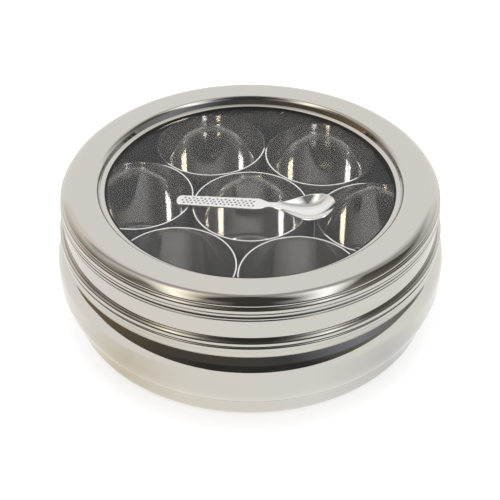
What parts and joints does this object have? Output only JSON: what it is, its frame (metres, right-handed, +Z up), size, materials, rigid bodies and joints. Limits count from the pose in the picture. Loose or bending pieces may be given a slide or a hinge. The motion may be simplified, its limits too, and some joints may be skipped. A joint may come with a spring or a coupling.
{
  "type": "spice box",
  "caption": "Round bellied steel spice box with a lift-off lid and clear window, holding loose cups in a ring and a small spoon laid across them.",
  "frame": {"origin": "centre of the ring that the box stands on, on the table", "axes": "+Z up along the axis of the box and lid, +X to the right and +Y away from the viewer in the picture"},
  "size_m": [0.1992, 0.1992, 0.0747],
  "materials": {
    "polished_steel": "bright polished stainless steel",
    "cup_steel": "drawn stainless steel, bright with faint upright drawing lines",
    "spoon_steel": "polished stainless steel with a stamped handle",
    "clear_window": "clear and flat",
    "black_seal": "matt black"
  },
  "bodies": {
    "box": {"outer_bowl": "polished_steel"},
    "lid": {"lid_shell": "polished_steel", "window": "clear_window", "window_seal": "black_seal", "window_ring": "polished_steel"},
    "cup_centre": {"cup_centre": "cup_steel"},
    "cup_right": {"cup_right": "cup_steel"},
    "cup_back_right": {"cup_back_right": "cup_steel"},
    "cup_back_left": {"cup_back_left": "cup_steel"},
    "cup_left": {"cup_left": "cup_steel"},
    "cup_front_left": {"cup_front_left": "cup_steel"},
    "cup_front_right": {"cup_front_right": "cup_steel"},
    "spoon": {"spoon": "spoon_steel"}
  },
  "joints": [
    {"name": "lid_lift", "type": "slide", "parent": "box", "child": "lid", "axis": [0, 0, 1], "range_m": [0, 0.12]},
    {"name": "spoon_lift", "type": "slide", "parent": "box", "child": "spoon", "axis": [0, 0, 1], "range_m": [0, 0.0018]},
    {"name": "cup_back_right_lift", "type": "slide", "parent": "box", "child": "cup_back_right", "axis": [0, 0, 1], "range_m": [0, 0.0087]},
    {"name": "cup_back_left_lift", "type": "slide", "parent": "box", "child": "cup_back_left", "axis": [0, 0, 1], "range_m": [0, 0.0087]},
    {"name": "cup_front_left_lift", "type": "slide", "parent": "box", "child": "cup_front_left", "axis": [0, 0, 1], "range_m": [0, 0.0087]},
    {"name": "cup_front_right_lift", "type": "slide", "parent": "box", "child": "cup_front_right", "axis": [0, 0, 1], "range_m": [0, 0.0087]},
    {"name": "cup_centre_turn", "type": "hinge", "parent": "box", "child": "cup_centre", "pos_m": [0, 0, 0.012], "axis": [0, 0, 1], "continuous": true},
    {"name": "cup_right_turn", "type": "hinge", "parent": "box", "child": "cup_right", "pos_m": [0.06262, -0.00992, 0.012], "axis": [0, 0, 1], "continuous": true},
    {"name": "cup_left_turn", "type": "hinge", "parent": "box", "child": "cup_left", "pos_m": [-0.05906, 0.00936, 0.012], "axis": [0, 0, 1], "continuous": true}
  ]
}
